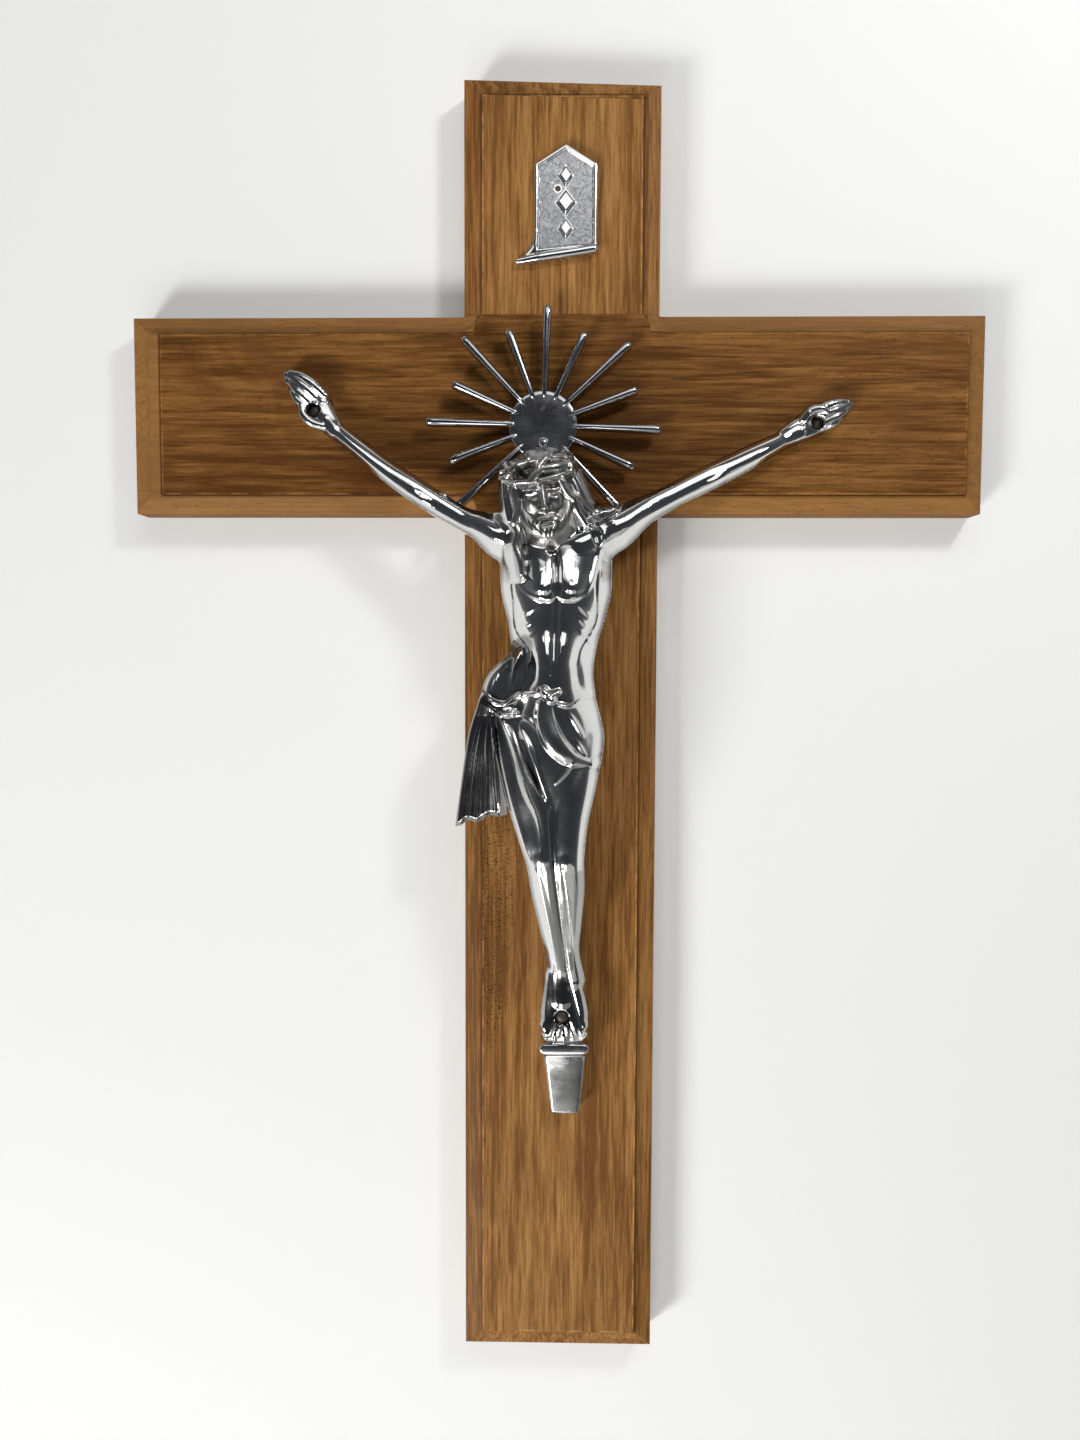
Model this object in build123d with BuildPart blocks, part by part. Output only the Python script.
from build123d import *
import math
import os

# Wall crucifix: two half-lapped boards with a routed front edge, a cast metal figure, a ray halo,
# a gabled plaque and the nails, screw, pin and brad that hold them on.
# Frame: +Z up, +X to the viewer's right, front towards -Y. The boards' back lies on the plane y = 0 and
# the origin is the mouth of the hanging hole in the back of the upright.

# Boards
BOARD_WIDTH = 89.0
BOARD_THICKNESS = 19.0
UPRIGHT_HEIGHT = 590.0
CROSSBAR_LENGTH = 389.0
CROSSING_BELOW_TOP = 148.0
CROSSBAR_SHIFT = -2.5
TOP_CUT_SLANT = 3.2
LAP_DEPTH = 9.5
LAP_CLEARANCE = 0.1

# Routed front edge: a slope outside and a small upright step round the raised face
SLOPE_WIDTH = 8.2
SLOPE_DROP = 3.0
STEP_HEIGHT = 1.2
ROUTER_GUIDE_RADIUS = 4.0

# Hanging hole in the back of the upright
HANGER_BELOW_TOP = 40.0
HANGER_RADIUS = 4.0
HANGER_DEPTH = 11.0

# Cast figure: crown to toes, and how far its highest point stands off the boards
FIGURE_HEIGHT = 270.0
FIGURE_RELIEF = 45.0
BODY_DRAFT = 20.0
DETAIL_DRAFT = 8.0
CROWN_RADIUS = 15.6
CROWN_ROLL_RADIUS = 2.4
CROWN_TILT = 20.0
CROWN_ARC = 190.0

# Nails in the hands and the feet. A bite is how deep a point goes into the wood.
HAND_NAIL_HEAD_RADIUS = 2.6
HAND_NAIL_HEAD_HEIGHT = 1.6
HAND_NAIL_SHANK_RADIUS = 1.2
HAND_NAIL_BITE = 11.0
FOOT_NAIL_HEAD_RADIUS = 3.2
FOOT_NAIL_HEAD_HEIGHT = 2.0
FOOT_NAIL_SHANK_RADIUS = 1.6
FOOT_NAIL_BITE = 13.0
NAIL_CLEARANCE = 0.15
NAIL_POINT_SHARE = 2.5

# Ray halo, with its centre placed from the crossing of the boards
HALO_ACROSS = -8.2
HALO_UP = -6.5
HALO_HUB_RADIUS = 15.5
HALO_HUB_THICKNESS = 3.0
HALO_BOSS_RADIUS = 13.0
HALO_STANDOFF = 5.0
RAY_COUNT = 16
RAY_FIRST_ANGLE = 88.0
RAY_ROOT = 11.5
RAY_LONG = 53.0
RAY_SHORT = 45.0
RAY_ROOT_WIDTH = 2.8
RAY_TIP_WIDTH = 4.2
RAY_DEPTH = 4.0
RAY_DRAFT = 6.0
RAY_TIP_DROP = 1.4
RAY_TIP_SHARE = 0.6
RAY_BULGE_SHARE = 0.75
HALO_SCREW_DROP = 8.0
HALO_SCREW_HEAD_RADIUS = 2.4
HALO_SCREW_HEAD_HEIGHT = 2.0
HALO_SCREW_SHANK_RADIUS = 1.2
HALO_SCREW_BITE = 8.5
HALO_SCREW_SLOT_WIDTH = 0.7
HALO_SCREW_SLOT_DEPTH = 0.8
HALO_SCREW_SLOT_LENGTH = 3.0
HALO_PIN_RISE = 7.5
HALO_PIN_HEAD_RADIUS = 1.3
HALO_PIN_HEAD_HEIGHT = 0.7
HALO_PIN_SHANK_RADIUS = 0.7
HALO_PIN_BITE = 8.0

# Gabled plaque with a raised rim and a rolled foot
PLAQUE_ACROSS = 1.6
PLAQUE_UP = 72.0
PLAQUE_WIDTH = 28.4
PLAQUE_SIDE_HEIGHT = 37.5
PLAQUE_GABLE_RISE = 8.8
PLAQUE_THICKNESS = 3.2
PLAQUE_RIM = 1.9
PLAQUE_RECESS = 1.1
ROLL_RADIUS = 2.4
ROLL_LEFT_REACH = 22.0
ROLL_RIGHT_REACH = 14.4
ROLL_SLANT = 8.0
ROLL_TIP_RADIUS = 0.6
ROLL_TAPER_LENGTH = 9.0
ROLL_DROP = 1.6
ROLL_BULGE_SHARE = 0.9
BRAD_ACROSS = -3.6
BRAD_UP = 27.0
BRAD_HEAD_RADIUS = 1.3
BRAD_HEAD_HEIGHT = 0.8
BRAD_SHANK_RADIUS = 0.7
BRAD_BITE = 10.0

# Overrun of every cut past the face that it opens
CUT = 2.0

# Places that follow from the sizes above
CROSSING_UP = HANGER_BELOW_TOP - CROSSING_BELOW_TOP
FACE = -BOARD_THICKNESS
UPRIGHT_BOTTOM = CROSSING_UP + CROSSING_BELOW_TOP - UPRIGHT_HEIGHT
HALF_WIDTH = BOARD_WIDTH / 2
HALF_SLANT = TOP_CUT_SLANT / 2
CROSSBAR_LEFT = CROSSBAR_SHIFT - CROSSBAR_LENGTH / 2
CROSSBAR_RIGHT = CROSSBAR_SHIFT + CROSSBAR_LENGTH / 2

# Stations along the figure's limbs. Each gives its place across and up from the crossing of the boards and
# its half width, as shares of the figure's height, then the depths of its back and its crest off the boards'
# face, as shares of the figure's relief. The number before each list is how far the front bulges, as a share
# of the half width.
TORSO_SHARES = (0.72, (
    (-0.004, -0.163, 0.052, 0.27, 0.60),
    (-0.002, -0.185, 0.100, 0.27, 0.72),
    (-0.005, -0.222, 0.108, 0.27, 0.82),
    (-0.007, -0.289, 0.097, 0.27, 0.86),
    (-0.008, -0.341, 0.087, 0.27, 0.82),
    (-0.011, -0.396, 0.073, 0.27, 0.75),
    (-0.011, -0.430, 0.068, 0.27, 0.73),
    (-0.011, -0.481, 0.072, 0.27, 0.77),
    (-0.011, -0.548, 0.078, 0.28, 0.78),
))
LEG_SHARES = (
    (0.85, (
        (-0.046, -0.541, 0.041, 0.29, 0.68),
        (-0.043, -0.611, 0.043, 0.31, 0.82),
        (-0.033, -0.674, 0.039, 0.33, 0.85),
        (-0.023, -0.733, 0.032, 0.34, 0.84),
        (-0.018, -0.789, 0.029, 0.30, 0.76),
        (-0.009, -0.856, 0.024, 0.22, 0.65),
        (-0.001, -0.922, 0.021, 0.13, 0.54),
        (0.002, -0.978, 0.024, 0.04, 0.47),
    )),
    (0.85, (
        (0.030, -0.541, 0.041, 0.29, 0.68),
        (0.022, -0.611, 0.038, 0.31, 0.83),
        (0.013, -0.674, 0.032, 0.33, 0.85),
        (0.011, -0.733, 0.028, 0.34, 0.83),
        (0.015, -0.789, 0.026, 0.30, 0.74),
        (0.015, -0.848, 0.022, 0.22, 0.63),
        (0.013, -0.911, 0.019, 0.13, 0.51),
        (0.019, -0.970, 0.024, 0.04, 0.41),
    )),
    (0.40, (
        (-0.010, -0.600, 0.040, 0.32, 0.72),
        (-0.004, -0.733, 0.026, 0.34, 0.76),
        (0.002, -0.848, 0.020, 0.22, 0.57),
        (0.007, -0.959, 0.020, 0.05, 0.38),
    )),
)
FEET_SHARES = (
    (0.55, (
        (0.007, -0.944, 0.029, -0.03, 0.40),
        (0.009, -1.000, 0.039, -0.03, 0.41),
        (0.010, -1.041, 0.042, -0.03, 0.38),
        (0.009, -1.074, 0.042, -0.03, 0.34),
    )),
    (0.06, (
        (0.009, -1.067, 0.042, -0.03, 0.33),
        (0.009, -1.080, 0.042, -0.03, 0.31),
        (0.010, -1.095, 0.039, -0.03, 0.25),
    )),
    (0.10, (
        (0.010, -1.087, 0.036, -0.03, 0.21),
        (0.011, -1.141, 0.029, -0.03, 0.13),
        (0.012, -1.194, 0.024, -0.03, 0.08),
    )),
)
ARM_SHARES = (
    (0.80, (
        (-0.045, -0.243, 0.034, 0.29, 0.66),
        (-0.100, -0.208, 0.036, 0.28, 0.66),
        (-0.163, -0.181, 0.022, 0.22, 0.52),
        (-0.229, -0.141, 0.021, 0.17, 0.43),
        (-0.287, -0.101, 0.019, 0.11, 0.36),
        (-0.374, -0.034, 0.016, 0.03, 0.24),
        (-0.396, -0.013, 0.013, 0.02, 0.15),
    )),
    (0.50, (
        (-0.372, -0.037, 0.014, -0.03, 0.20),
        (-0.411, 0.004, 0.025, -0.03, 0.19),
        (-0.434, 0.035, 0.023, -0.03, 0.18),
        (-0.453, 0.062, 0.014, -0.03, 0.14),
    )),
    (0.80, (
        (0.035, -0.238, 0.034, 0.29, 0.66),
        (0.090, -0.199, 0.036, 0.28, 0.66),
        (0.180, -0.146, 0.022, 0.22, 0.50),
        (0.244, -0.113, 0.021, 0.17, 0.43),
        (0.320, -0.075, 0.020, 0.11, 0.36),
        (0.370, -0.048, 0.016, 0.03, 0.24),
        (0.398, -0.033, 0.013, 0.02, 0.15),
    )),
    (0.50, (
        (0.362, -0.052, 0.014, -0.03, 0.20),
        (0.418, -0.022, 0.023, -0.03, 0.19),
        (0.452, -0.006, 0.021, -0.03, 0.18),
        (0.482, 0.008, 0.012, -0.03, 0.13),
    )),
)
PECTORAL_SHARES = (
    (0.25, (
        (-0.048, -0.206, 0.034, 0.60, 0.74),
        (-0.047, -0.256, 0.047, 0.60, 0.85),
        (-0.043, -0.302, 0.034, 0.60, 0.80),
    )),
    (0.25, (
        (0.038, -0.204, 0.034, 0.60, 0.74),
        (0.035, -0.254, 0.047, 0.60, 0.85),
        (0.030, -0.300, 0.034, 0.60, 0.80),
    )),
)
HEAD_SHARES = (
    (0.80, (
        (-0.022, -0.170, 0.034, 0.28, 0.66),
        (-0.012, -0.226, 0.044, 0.28, 0.74),
    )),
    (0.90, (
        (-0.033, -0.076, 0.020, 0.34, 0.66),
        (-0.037, -0.094, 0.046, 0.29, 0.82),
        (-0.038, -0.126, 0.058, 0.29, 0.89),
        (-0.034, -0.159, 0.056, 0.29, 0.91),
        (-0.029, -0.190, 0.046, 0.29, 0.90),
        (-0.023, -0.223, 0.026, 0.36, 0.86),
    )),
    (0.80, (
        (-0.034, -0.140, 0.007, 0.82, 0.930),
        (-0.032, -0.163, 0.010, 0.82, 0.990),
        (-0.032, -0.169, 0.008, 0.82, 0.950),
    )),
    (0.75, (
        (0.004, -0.096, 0.024, 0.29, 0.74),
        (0.018, -0.141, 0.028, 0.29, 0.76),
        (0.044, -0.186, 0.036, 0.29, 0.71),
    )),
    (0.75, (
        (-0.076, -0.115, 0.022, 0.29, 0.76),
        (-0.078, -0.189, 0.020, 0.29, 0.80),
        (-0.073, -0.241, 0.016, 0.40, 0.82),
        (-0.070, -0.278, 0.008, 0.50, 0.80),
    )),
)
CLOTH_SHARES = (
    (0.80, (
        (-0.012, -0.459, 0.068, 0.27, 0.77),
        (-0.014, -0.489, 0.078, 0.27, 0.84),
        (-0.014, -0.541, 0.086, 0.27, 0.88),
        (-0.014, -0.585, 0.080, 0.29, 0.89),
        (-0.015, -0.641, 0.066, 0.31, 0.88),
        (-0.015, -0.700, 0.048, 0.34, 0.80),
    )),
    (0.70, (
        (-0.096, -0.440, 0.020, 0.27, 0.62),
        (-0.105, -0.478, 0.030, 0.27, 0.72),
        (-0.112, -0.513, 0.030, 0.25, 0.66),
    )),
    (0.25, (
        (-0.113, -0.470, 0.020, 0.24, 0.56),
        (-0.120, -0.533, 0.031, 0.21, 0.50),
        (-0.124, -0.604, 0.036, 0.18, 0.44),
        (-0.126, -0.684, 0.042, 0.16, 0.39),
    )),
)
PLEAT_SHARES = (
    (0.60, (
        (-0.118, -0.480, 0.006, 0.30, 0.58),
        (-0.133, -0.590, 0.010, 0.25, 0.50),
        (-0.149, -0.681, 0.012, 0.20, 0.45),
    )),
    (0.60, (
        (-0.109, -0.480, 0.006, 0.30, 0.58),
        (-0.117, -0.590, 0.010, 0.25, 0.50),
        (-0.121, -0.681, 0.013, 0.20, 0.45),
    )),
)
FOLD_SHARES = (
    (0.80, (
        (-0.108, -0.478, 0.013, 0.52, 0.76),
        (-0.060, -0.480, 0.016, 0.60, 0.88),
        (0.000, -0.474, 0.016, 0.62, 0.88),
        (0.050, -0.496, 0.014, 0.42, 0.70),
    )),
    (0.80, (
        (-0.050, -0.489, 0.014, 0.62, 0.86),
        (-0.004, -0.526, 0.024, 0.68, 0.94),
        (0.028, -0.578, 0.022, 0.62, 0.90),
        (0.058, -0.606, 0.012, 0.40, 0.64),
    )),
    (0.80, (
        (-0.092, -0.496, 0.013, 0.56, 0.82),
        (-0.058, -0.563, 0.022, 0.64, 0.92),
        (-0.040, -0.640, 0.020, 0.64, 0.92),
        (-0.026, -0.718, 0.012, 0.62, 0.84),
    )),
)
CROWN_SHARES = (-0.037, -0.115, 0.54)
LEFT_PALM_SHARES = (-0.414, 0.001)
RIGHT_PALM_SHARES = (0.424, -0.021)
FOOT_NAIL_SHARES = (0.005, -1.018)
HAND_NAIL_SEAT_SHARE = 0.093
FOOT_NAIL_SEAT_SHARE = 0.31

# Places that follow from the figure, the halo and the plaque
LEFT_PALM = tuple(share * FIGURE_HEIGHT for share in LEFT_PALM_SHARES)
RIGHT_PALM = tuple(share * FIGURE_HEIGHT for share in RIGHT_PALM_SHARES)
FOOT_NAIL = tuple(share * FIGURE_HEIGHT for share in FOOT_NAIL_SHARES)
HAND_NAIL_SEAT = HAND_NAIL_SEAT_SHARE * FIGURE_RELIEF
FOOT_NAIL_SEAT = FOOT_NAIL_SEAT_SHARE * FIGURE_RELIEF
CROWN_SCALE = (FIGURE_HEIGHT, FIGURE_HEIGHT, FIGURE_RELIEF)
HALO_SCREW = (HALO_ACROSS, HALO_UP - HALO_SCREW_DROP)
HALO_PIN = (HALO_ACROSS, HALO_UP + HALO_PIN_RISE)
HALO_FRONT = HALO_STANDOFF + HALO_HUB_THICKNESS
BRAD = (PLAQUE_ACROSS + BRAD_ACROSS, PLAQUE_UP + BRAD_UP)
PLAQUE_FIELD = PLAQUE_THICKNESS - PLAQUE_RECESS
BACK_PLANE = Plane(origin=(0, 0, 0), x_dir=(1, 0, 0), z_dir=(0, -1, 0))


def front_plane(across, up, depth=0.0):
    """Sketch plane facing the viewer, at a place from the boards' crossing and a depth off their face."""
    origin = (across, FACE - depth, CROSSING_UP + up)
    return Plane(origin=origin, x_dir=(1, 0, 0), z_dir=(0, -1, 0))


def post(plane, radius, height, mode=Mode.ADD):
    """Round post from its plane towards the viewer."""
    with BuildSketch(plane) as round_face:
        Circle(radius)
    extrude(round_face.sketch, amount=height, mode=mode)


def drill(plane, radius, depth):
    """Round hole from its plane away from the viewer, open at the plane."""
    post(plane, radius, -depth, Mode.SUBTRACT)
    post(plane, radius, CUT, Mode.SUBTRACT)


def nail(place, seat, head_radius, head_height, shank_radius, bite):
    """Domed nail driven in from the front, its head seated off the boards' face and its point in the wood."""
    plane = front_plane(*place)
    point = shank_radius * NAIL_POINT_SHARE
    with BuildSketch(Plane(origin=plane.origin, x_dir=(1, 0, 0), z_dir=(0, 0, -1))) as profile:
        with BuildLine():
            Polyline(
                (0, seat + head_height), (0, -bite), (shank_radius, point - bite),
                (shank_radius, seat), (head_radius, seat),
            )
            TangentArc((0, seat + head_height), (head_radius, seat), tangent=(1, 0))
        make_face()
    revolve(profile.sketch, axis=Axis(plane.origin, plane.z_dir))


def section(across, up, along, half, back, crest, bulge_share, draft):
    """D-shaped section square to a limb: flat back, drafted sides and a round front."""
    side = crest - bulge_share * half
    front_half = half - (side - back) * math.tan(math.radians(draft))
    plane = Plane(origin=(across, FACE, CROSSING_UP + up), x_dir=(-along.Z, 0, along.X), z_dir=along)
    with BuildSketch(plane) as outline:
        with BuildLine():
            Polyline((front_half, side), (half, back), (-half, back), (-front_half, side))
            ThreePointArc((-front_half, side), (0, crest), (front_half, side))
        make_face()
    return outline.sketch


def limb(stations, bulge_share, draft, straight=False):
    """Loft, smooth or straight, through sections at stations of across, up, half width, back and crest."""
    places = [Vector(across, 0, up) for across, up, *_ in stations]
    sections = []
    for number, (across, up, half, back, crest) in enumerate(stations):
        before = places[max(number - 1, 0)]
        after = places[min(number + 1, len(places) - 1)]
        along = (after - before).normalized()
        sections.append(section(across, up, along, half, back, crest, bulge_share, draft))
    loft(sections, ruled=straight, clean=False)


def figure_limb(shares, draft):
    """One limb of the cast figure from its table of shares."""
    bulge_share, stations = shares
    sized = []
    for across, up, half, back, crest in stations:
        lengths = [share * FIGURE_HEIGHT for share in (across, up, half)]
        depths = [share * FIGURE_RELIEF for share in (back, crest)]
        sized.append((*lengths, *depths))
    limb(sized, bulge_share, draft)


def crown():
    """Rolled band round the front of the head, lower on the viewer's left."""
    across, up, depth = (share * size for share, size in zip(CROWN_SHARES, CROWN_SCALE))
    tilt = math.radians(CROWN_TILT)
    behind = math.radians((CROWN_ARC - 180) / 2)
    centre = front_plane(across, up, depth).origin
    top = Vector(-math.sin(tilt), 0, math.cos(tilt))
    right = Vector(math.cos(tilt), 0, math.sin(tilt))
    start = right * math.cos(behind) + Vector(0, 1, 0) * math.sin(behind)
    with BuildSketch(Plane(origin=centre, x_dir=start, z_dir=start.cross(top))) as roll:
        with Locations((CROWN_RADIUS, 0)):
            Circle(CROWN_ROLL_RADIUS)
    revolve(roll.sketch, axis=Axis(centre, -top), revolution_arc=CROWN_ARC)


def crossed_boards(board):
    """Both boards as one blank, with the slope and the step that the router leaves round the front."""
    top = CROSSING_UP + CROSSING_BELOW_TOP
    above = CROSSING_UP + HALF_WIDTH
    below = CROSSING_UP - HALF_WIDTH
    with BuildSketch(BACK_PLANE) as outline:
        with BuildLine():
            Polyline(
                (-HALF_WIDTH, top + HALF_SLANT), (HALF_WIDTH, top - HALF_SLANT),
                (HALF_WIDTH, above), (CROSSBAR_RIGHT, above), (CROSSBAR_RIGHT, below), (HALF_WIDTH, below),
                (HALF_WIDTH, UPRIGHT_BOTTOM), (-HALF_WIDTH, UPRIGHT_BOTTOM),
                (-HALF_WIDTH, below), (CROSSBAR_LEFT, below), (CROSSBAR_LEFT, above), (-HALF_WIDTH, above),
                close=True,
            )
        make_face()
        reach = Vertex(0, CROSSING_UP, 0)
        inner_corners = outline.vertices().sort_by_distance(reach)[:4]
        fillet(inner_corners, ROUTER_GUIDE_RADIUS)
    extrude(outline.sketch, amount=BOARD_THICKNESS - STEP_HEIGHT)
    front = board.faces().sort_by(Axis.Y)[0]
    chamfer(front.edges(), length=SLOPE_WIDTH, length2=SLOPE_DROP, reference=front)
    extrude(board.faces().sort_by(Axis.Y)[0], amount=STEP_HEIGHT)


def drill_pilots():
    """Pilot holes of every nail, screw, pin and brad, drilled through both boards where they lap."""
    for place, shank_radius, bite in (
        (LEFT_PALM, HAND_NAIL_SHANK_RADIUS, HAND_NAIL_BITE),
        (RIGHT_PALM, HAND_NAIL_SHANK_RADIUS, HAND_NAIL_BITE),
        (FOOT_NAIL, FOOT_NAIL_SHANK_RADIUS, FOOT_NAIL_BITE),
        (HALO_SCREW, HALO_SCREW_SHANK_RADIUS, HALO_SCREW_BITE),
        (HALO_PIN, HALO_PIN_SHANK_RADIUS, HALO_PIN_BITE),
        (BRAD, BRAD_SHANK_RADIUS, BRAD_BITE),
    ):
        drill(front_plane(*place), shank_radius + NAIL_CLEARANCE, bite + NAIL_CLEARANCE)


def seat_nail(place, seat, head_radius, shank_radius):
    """Counterbore for a nail's head, down to its seat, and the hole for its shank."""
    post(front_plane(*place, seat), head_radius + NAIL_CLEARANCE, FIGURE_RELIEF, Mode.SUBTRACT)
    drill(front_plane(*place, seat), shank_radius + NAIL_CLEARANCE, seat + CUT)


# Upright, notched at the front for the crossbar, with the blind hanging hole in its back
with BuildPart() as upright:
    crossed_boards(upright)
    with BuildSketch(BACK_PLANE):
        with Locations((0, CROSSING_UP)):
            Rectangle(BOARD_WIDTH, 2 * UPRIGHT_HEIGHT)
    extrude(amount=BOARD_THICKNESS + CUT, mode=Mode.INTERSECT)
    with BuildSketch(BACK_PLANE.offset(LAP_DEPTH)):
        with Locations((0, CROSSING_UP)):
            Rectangle(BOARD_WIDTH + 2 * CUT, BOARD_WIDTH + 2 * LAP_CLEARANCE)
    extrude(amount=BOARD_THICKNESS, mode=Mode.SUBTRACT)
    with BuildSketch(BACK_PLANE):
        Circle(HANGER_RADIUS)
    extrude(amount=HANGER_DEPTH, mode=Mode.SUBTRACT)
    drill_pilots()

# Crossbar, notched at the back for the upright
with BuildPart() as crossbar:
    crossed_boards(crossbar)
    with BuildSketch(BACK_PLANE):
        with Locations((0, CROSSING_UP)):
            Rectangle(2 * CROSSBAR_LENGTH, BOARD_WIDTH)
    extrude(amount=BOARD_THICKNESS + CUT, mode=Mode.INTERSECT)
    with BuildSketch(BACK_PLANE):
        with Locations((0, CROSSING_UP)):
            Rectangle(BOARD_WIDTH + 2 * LAP_CLEARANCE, BOARD_WIDTH + 2 * CUT)
    extrude(amount=LAP_DEPTH, mode=Mode.SUBTRACT)
    drill_pilots()

# Cast figure: one casting with a flat back, lying on the boards at its hands, feet and tang
with BuildPart() as corpus:
    for bulk in (TORSO_SHARES, *LEG_SHARES, *FEET_SHARES, *ARM_SHARES):
        figure_limb(bulk, BODY_DRAFT)
    for detail in (*PECTORAL_SHARES, *HEAD_SHARES, *CLOTH_SHARES, *PLEAT_SHARES, *FOLD_SHARES):
        figure_limb(detail, DETAIL_DRAFT)
    crown()
    split(bisect_by=front_plane(0, 0), keep=Keep.TOP)
    for palm in (LEFT_PALM, RIGHT_PALM):
        seat_nail(palm, HAND_NAIL_SEAT, HAND_NAIL_HEAD_RADIUS, HAND_NAIL_SHANK_RADIUS)
    seat_nail(FOOT_NAIL, FOOT_NAIL_SEAT, FOOT_NAIL_HEAD_RADIUS, FOOT_NAIL_SHANK_RADIUS)

# Halo: half-round rays on the rim of a flat hub, with a boss behind it
with BuildPart() as halo:
    post(front_plane(HALO_ACROSS, HALO_UP), HALO_BOSS_RADIUS, HALO_STANDOFF)
    post(front_plane(HALO_ACROSS, HALO_UP, HALO_STANDOFF), HALO_HUB_RADIUS, HALO_HUB_THICKNESS)
    for number in range(RAY_COUNT):
        angle = math.radians(RAY_FIRST_ANGLE - number * 360 / RAY_COUNT)
        length = RAY_SHORT if number % 2 else RAY_LONG
        crest = HALO_STANDOFF + RAY_DEPTH
        ray = []
        for reach, width, height in (
            (RAY_ROOT, RAY_ROOT_WIDTH, crest),
            (length - RAY_TIP_WIDTH / 2, RAY_TIP_WIDTH, crest),
            (length, RAY_TIP_WIDTH * RAY_TIP_SHARE, crest - RAY_TIP_DROP),
        ):
            across = HALO_ACROSS + reach * math.cos(angle)
            up = HALO_UP + reach * math.sin(angle)
            ray.append((across, up, width / 2, HALO_STANDOFF, height))
        limb(ray, RAY_BULGE_SHARE, RAY_DRAFT, straight=True)
    drill(front_plane(*HALO_SCREW, HALO_FRONT), HALO_SCREW_SHANK_RADIUS + NAIL_CLEARANCE, HALO_FRONT + CUT)
    drill(front_plane(*HALO_PIN, HALO_FRONT), HALO_PIN_SHANK_RADIUS + NAIL_CLEARANCE, HALO_FRONT + CUT)

# Plaque: gabled plate with a sunk field inside a rim, and a rolled foot that runs out to a point
with BuildPart() as plaque:
    with BuildSketch(front_plane(PLAQUE_ACROSS, PLAQUE_UP)) as plaque_outline:
        with BuildLine():
            Polyline(
                (-PLAQUE_WIDTH / 2, 0), (PLAQUE_WIDTH / 2, 0), (PLAQUE_WIDTH / 2, PLAQUE_SIDE_HEIGHT),
                (0, PLAQUE_SIDE_HEIGHT + PLAQUE_GABLE_RISE), (-PLAQUE_WIDTH / 2, PLAQUE_SIDE_HEIGHT),
                close=True,
            )
        make_face()
    extrude(amount=PLAQUE_THICKNESS)
    with BuildSketch(front_plane(PLAQUE_ACROSS, PLAQUE_UP, PLAQUE_THICKNESS - PLAQUE_RECESS)):
        offset(plaque_outline.sketch_local, amount=-PLAQUE_RIM, kind=Kind.INTERSECTION)
    extrude(amount=PLAQUE_RECESS + CUT, mode=Mode.SUBTRACT)
    slope = math.tan(math.radians(ROLL_SLANT))
    roll = []
    for reach, radius in (
        (ROLL_RIGHT_REACH, ROLL_RADIUS),
        (ROLL_TAPER_LENGTH - ROLL_LEFT_REACH, ROLL_RADIUS),
        (-ROLL_LEFT_REACH, ROLL_TIP_RADIUS),
    ):
        roll.append((PLAQUE_ACROSS + reach, PLAQUE_UP + reach * slope - ROLL_DROP, radius, 0, 2 * radius))
    limb(roll, ROLL_BULGE_SHARE, 0, straight=True)
    drill(front_plane(*BRAD, PLAQUE_FIELD), BRAD_SHANK_RADIUS + NAIL_CLEARANCE, PLAQUE_FIELD + CUT)

# Nails through both palms
with BuildPart() as hand_nails:
    for palm in (LEFT_PALM, RIGHT_PALM):
        nail(palm, HAND_NAIL_SEAT, HAND_NAIL_HEAD_RADIUS, HAND_NAIL_HEAD_HEIGHT,
             HAND_NAIL_SHANK_RADIUS, HAND_NAIL_BITE)

# Nail through both feet
with BuildPart() as foot_nail:
    nail(FOOT_NAIL, FOOT_NAIL_SEAT, FOOT_NAIL_HEAD_RADIUS, FOOT_NAIL_HEAD_HEIGHT,
         FOOT_NAIL_SHANK_RADIUS, FOOT_NAIL_BITE)

# Cross-recessed screw through the halo's hub
with BuildPart() as halo_screw:
    nail(HALO_SCREW, HALO_FRONT, HALO_SCREW_HEAD_RADIUS, HALO_SCREW_HEAD_HEIGHT,
         HALO_SCREW_SHANK_RADIUS, HALO_SCREW_BITE)
    slot_floor = HALO_FRONT + HALO_SCREW_HEAD_HEIGHT - HALO_SCREW_SLOT_DEPTH
    with BuildSketch(front_plane(*HALO_SCREW, slot_floor)):
        Rectangle(HALO_SCREW_SLOT_LENGTH, HALO_SCREW_SLOT_WIDTH)
        Rectangle(HALO_SCREW_SLOT_WIDTH, HALO_SCREW_SLOT_LENGTH)
    extrude(amount=HALO_SCREW_SLOT_DEPTH + CUT, mode=Mode.SUBTRACT)

# Small pin near the top of the hub
with BuildPart() as halo_pin:
    nail(HALO_PIN, HALO_FRONT, HALO_PIN_HEAD_RADIUS, HALO_PIN_HEAD_HEIGHT,
         HALO_PIN_SHANK_RADIUS, HALO_PIN_BITE)

# Brad through the plaque's field
with BuildPart() as plaque_brad:
    nail(BRAD, PLAQUE_FIELD, BRAD_HEAD_RADIUS, BRAD_HEAD_HEIGHT, BRAD_SHANK_RADIUS, BRAD_BITE)

PIECES = {
    "upright": upright,
    "crossbar": crossbar,
    "corpus": corpus,
    "halo": halo,
    "plaque": plaque,
    "hand_nails": hand_nails,
    "foot_nail": foot_nail,
    "halo_screw": halo_screw,
    "halo_pin": halo_pin,
    "plaque_brad": plaque_brad,
}
os.makedirs("parts", exist_ok=True)
for label, piece in PIECES.items():
    piece.part.label = label
    export_step(piece.part, f"parts/{label}.step")
    print(label, len(piece.solids()), "solid(s)", round(piece.part.volume), "mm3")
